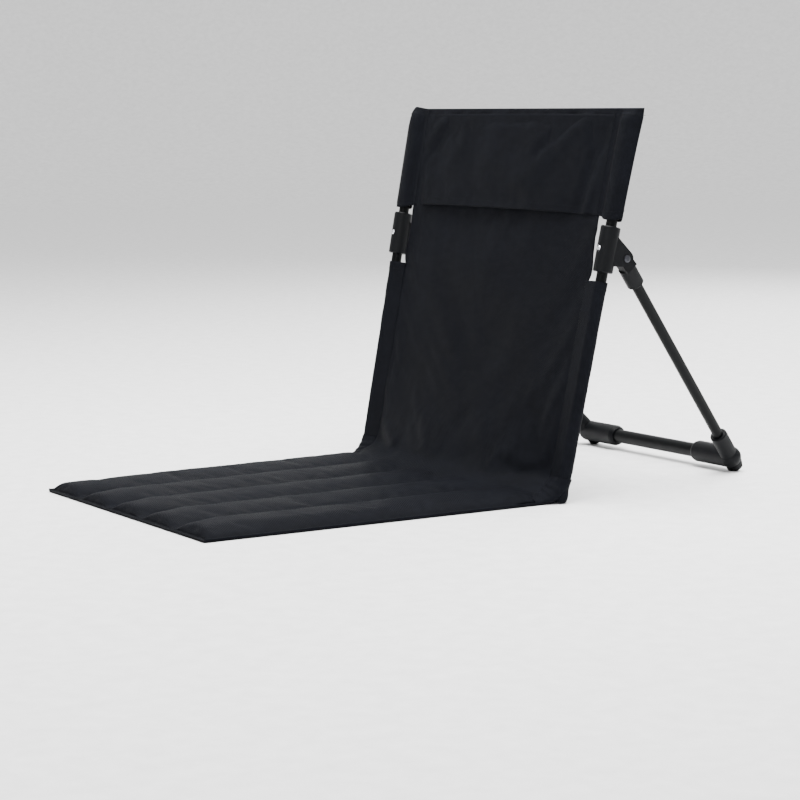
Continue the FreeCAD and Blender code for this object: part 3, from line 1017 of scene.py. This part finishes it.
class FLOORCHAIR_OT_hood(bpy.types.Operator):
    """Makes the hood that is pulled over the top of the back"""
    bl_idname = "floor_chair.hood"
    bl_label = "Hood"

    def execute(self, context):
        sizes = back_sizes()
        flat = (HOOD_CUT, sizes.top - sizes.hood_low)
        hood = cloth_piece("hood_cover", HOOD_COLUMNS, HOOD_ROWS, flat, hood_place, closed=True)
        top_hem = 0.95
        held = []
        for index, share in enumerate(cut_places(hood)):
            stretch, place = hood_column(share.x)
            inner = stretch in ("front", "rear") and not at_edge(place)
            if not inner or share.y > top_hem:
                held.append(index)
        settle(hood, held, slack=0.003, pressure=0.0, weight=0.05, frames=14, most=4 * MM)
        thicken(hood, sizes.cloth)
        dress(hood, shared(oxford_cloth))
        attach(hood, "backrest")
        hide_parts("hood_front", "hood_rear", "top_hem", "left_hood_sleeve", "right_hood_sleeve")
        return {"FINISHED"}


# Stitching
STITCH_PITCH = 3.6 * MM
STITCH_LENGTH = 2.7 * MM
STITCH_RADIUS = 0.32 * MM


def stitch_run(curve, places):
    """Adds short raised stitches along (point, normal) places on a sewn line to a curve."""
    run = 0.0
    raised = 0.1 * MM
    swells = (0.35, 1.0, 1.0, 0.35)
    for (a, up_a), (b, up_b) in zip(places, places[1:]):
        gap = (b - a).length
        if gap == 0:
            continue
        ahead = (b - a) / gap
        while run < gap:
            lift = up_a.lerp(up_b, run / gap).normalized() * raised
            stitch = curve.splines.new("POLY")
            stitch.points.add(len(swells) - 1)
            for index, point in enumerate(stitch.points):
                share = index / (len(swells) - 1) - 0.5
                point.co = (a + ahead * (run + share * STITCH_LENGTH) + lift).to_4d()
                point.radius = swells[index]
            run += STITCH_PITCH
        run -= gap


def thread_piece(name, runs):
    """One mesh of all the stitches along some sewn lines."""
    curve = bpy.data.curves.new(name, "CURVE")
    curve.dimensions = "3D"
    curve.bevel_depth = STITCH_RADIUS
    curve.bevel_resolution = 1
    curve.use_fill_caps = True
    for run in runs:
        stitch_run(curve, run)
    drawn = add_object(name + "_line", curve)
    mesh = bpy.data.meshes.new_from_object(drawn.evaluated_get(bpy.context.evaluated_depsgraph_get()))
    bpy.data.objects.remove(drawn)
    mesh.name = name
    mesh.shade_smooth()
    thread = add_object(name, mesh)
    dress(thread, shared(sewing_thread))
    return thread


def lines_on(piece, chosen):
    """Runs of (point, normal) on a piece's grid, where chosen lists each point's lines and orders."""
    runs = {}
    for vert, share in zip(piece.data.vertices, cut_places(piece)):
        for key, order in chosen(share):
            runs.setdefault(key, []).append((order, vert.co.copy(), vert.normal.copy()))
    ordered = [sorted(run, key=lambda item: item[0]) for _, run in sorted(runs.items())]
    return [[(co, up) for _, co, up in run] for run in ordered]


def stitch_mat(pad):
    """Stitching along the mat's channel seams and the inner edges of its borders."""
    bare_rows = 2

    def chosen(share):
        count = mat_across(share.x)
        return [(round(count), share.y)] if count == round(count) else []

    thread = thread_piece("mat_stitching", [run[bare_rows:] for run in lines_on(pad, chosen)])
    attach(thread, "seat")


class FLOORCHAIR_OT_stitching(bpy.types.Operator):
    """Makes the stitching of the back, the sleeves and the hood"""
    bl_idname = "floor_chair.stitching"
    bl_label = "Stitching"

    def execute(self, context):
        hem_rows = 2
        front_seams = (HOOD_SIDE_COLUMNS, HOOD_SIDE_COLUMNS + HOOD_FRONT_COLUMNS)
        seams = front_seams + tuple(HOOD_COLUMNS - column for column in front_seams)

        def on_hood(share):
            row = round(share.y * HOOD_ROWS)
            column = round(share.x * HOOD_COLUMNS)
            found = []
            if row in (hem_rows, HOOD_ROWS - hem_rows):
                found.append(("row" + str(row) + ("front" if share.x < 0.5 else "rear"), share.x))
            if column in seams:
                found.append(("seam" + str(column), share.y))
            return found

        def on_sleeve(share):
            row = round(share.y * SLEEVE_ROWS)
            column = round(share.x * SLEEVE_COLUMNS)
            found = [("hem", share.x)] if row == SLEEVE_ROWS - hem_rows else []
            if column in (1, SLEEVE_COLUMNS - 1):
                found.append(("seam" + str(column), share.y))
            return found

        runs = lines_on(bpy.data.objects["hood_cover"], on_hood)
        for word, _ in SIDES:
            runs += lines_on(bpy.data.objects[word + "_back_sleeve_cloth"], on_sleeve)
        thread = thread_piece("back_stitching", runs)
        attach(thread, "backrest")
        return {"FINISHED"}


class FLOORCHAIR_OT_finishes(bpy.types.Operator):
    """Gives the tubes, fittings, rivets and pins their finishes"""
    bl_idname = "floor_chair.finishes"
    bl_label = "Tube and fitting finishes"

    def execute(self, context):
        finishes = {"tube": powder_coat, "rivet": plated_steel, "rivets": plated_steel,
                    "pin": blackened_steel}
        for name, node in frame["nodes"].items():
            if node.hide_render:
                continue
            make = finishes.get(name.split("_")[-1], moulded_nylon)
            node.data.materials.clear()
            node.data.materials.append(shared(make))
        return {"FINISHED"}


# Stage
CAMERA_PLACE = Vector((2662.1, -1650.6, 504.7)) * MM
CAMERA_AZIMUTH = math.radians(58.524)
CAMERA_ELEVATION = math.radians(7.159)
CAMERA_ROLL = math.radians(-0.702)
CAMERA_LENS = 108.46
CAMERA_SENSOR = 36
FLOOR_RADIUS = 8.0
SWEEP_RADIUS = 3.5
SWEEP_STEPS = 14
AIR_STRENGTH = 1.15


def place_camera():
    """Stands the camera where the chair is seen from its left front, a little above it."""
    data = bpy.data.cameras.new("camera")
    data.lens = CAMERA_LENS
    data.sensor_width = CAMERA_SENSOR
    data.clip_end = 100
    camera = add_object("camera", data)
    flat = math.cos(CAMERA_ELEVATION)
    away = Vector((math.sin(CAMERA_AZIMUTH) * flat, -math.cos(CAMERA_AZIMUTH) * flat,
                   math.sin(CAMERA_ELEVATION)))
    right = Vector((math.cos(CAMERA_AZIMUTH), math.sin(CAMERA_AZIMUTH), 0))
    up = away.cross(right)
    right, up = (right * math.cos(CAMERA_ROLL) + up * math.sin(CAMERA_ROLL),
                 up * math.cos(CAMERA_ROLL) - right * math.sin(CAMERA_ROLL))
    turn = Matrix((right, up, away)).transposed().to_4x4()
    camera.matrix_world = Matrix.Translation(CAMERA_PLACE) @ turn
    bpy.context.scene.camera = camera


def soft_light(name, place, aim, size, watts):
    """A square softbox that faces a point."""
    data = bpy.data.lights.new(name, "AREA")
    data.shape = "SQUARE"
    data.size = size
    data.energy = watts
    lamp = add_object(name, data)
    lamp.location = place
    lamp.rotation_euler = (Vector(aim) - Vector(place)).to_track_quat("-Z", "Y").to_euler()


class FLOORCHAIR_OT_stage(bpy.types.Operator):
    """Makes the floor that sweeps up into a backdrop, the studio light and the camera"""
    bl_idname = "floor_chair.stage"
    bl_label = "Studio stage"

    def execute(self, context):
        bm = bmesh.new()
        bmesh.ops.create_circle(bm, cap_ends=True, segments=96, radius=FLOOR_RADIUS)
        rim = bm.edges[:]
        for step in range(1, SWEEP_STEPS + 1):
            turn = math.pi / 2 * step / SWEEP_STEPS
            made = bmesh.ops.extrude_edge_only(bm, edges=rim)["geom"]
            rim = [part for part in made if isinstance(part, bmesh.types.BMEdge)]
            for vert in {vert for edge in rim for vert in edge.verts}:
                reach = FLOOR_RADIUS + SWEEP_RADIUS * math.sin(turn)
                vert.co = vert.co.to_2d().normalized().to_3d() * reach
                vert.co.z = SWEEP_RADIUS * (1 - math.cos(turn))
        floor = keep("white_floor", bm)
        floor.data.materials.append(shared(studio_paper))
        world = bpy.data.worlds.new("studio_air")
        world.use_nodes = True
        sky = world.node_tree.nodes["Background"]
        sky.inputs["Color"].default_value = (1, 1, 1, 1)
        sky.inputs["Strength"].default_value = AIR_STRENGTH
        context.scene.world = world
        soft_light("overhead_softbox", place=(0.1, 0.2, 2.4), aim=(0, 0, 0.2), size=2.0, watts=190)
        soft_light("front_softbox", place=(1.6, -2.4, 1.8), aim=(0, 0, 0.25), size=1.4, watts=26)
        soft_light("rear_softbox", place=(-1.6, 2.6, 1.8), aim=(0, 0, 0.25), size=1.4, watts=75)
        place_camera()
        return {"FINISHED"}


class FLOORCHAIR_PT_panel(bpy.types.Panel):
    """Lists the chair's sizes, colours and steps"""
    bl_idname = "FLOORCHAIR_PT_panel"
    bl_label = "Floor Chair"
    bl_space_type = "VIEW_3D"
    bl_region_type = "UI"
    bl_category = "Floor Chair"

    def draw(self, context):
        scene = context.scene
        for group in (scene.floor_chair_mat, scene.floor_chair_back, scene.floor_chair_colours):
            box = self.layout.box()
            for name in group.__annotations__:
                box.prop(group, name)
        for step in STEPS:
            self.layout.operator(step.bl_idname)


STEPS = (FLOORCHAIR_OT_mat, FLOORCHAIR_OT_ground_sheet, FLOORCHAIR_OT_back_cloth, FLOORCHAIR_OT_sleeves,
         FLOORCHAIR_OT_corners, FLOORCHAIR_OT_hood, FLOORCHAIR_OT_stitching, FLOORCHAIR_OT_finishes,
         FLOORCHAIR_OT_stage)
CLASSES = (MatSizes, BackSizes, FinishColours) + STEPS + (FLOORCHAIR_PT_panel,)


def register():
    for kind in CLASSES:
        bpy.utils.register_class(kind)
    bpy.types.Scene.floor_chair_mat = bpy.props.PointerProperty(type=MatSizes)
    bpy.types.Scene.floor_chair_back = bpy.props.PointerProperty(type=BackSizes)
    bpy.types.Scene.floor_chair_colours = bpy.props.PointerProperty(type=FinishColours)


def unregister():
    del bpy.types.Scene.floor_chair_colours
    del bpy.types.Scene.floor_chair_back
    del bpy.types.Scene.floor_chair_mat
    for kind in reversed(CLASSES):
        bpy.utils.unregister_class(kind)


def main():
    register()
    bpy.ops.floor_chair.mat()
    bpy.ops.floor_chair.ground_sheet()
    bpy.ops.floor_chair.back_cloth()
    bpy.ops.floor_chair.sleeves()
    bpy.ops.floor_chair.corners()
    bpy.ops.floor_chair.hood()
    bpy.ops.floor_chair.stitching()
    bpy.ops.floor_chair.finishes()
    bpy.ops.floor_chair.stage()


if __name__ == "__main__":
    main()
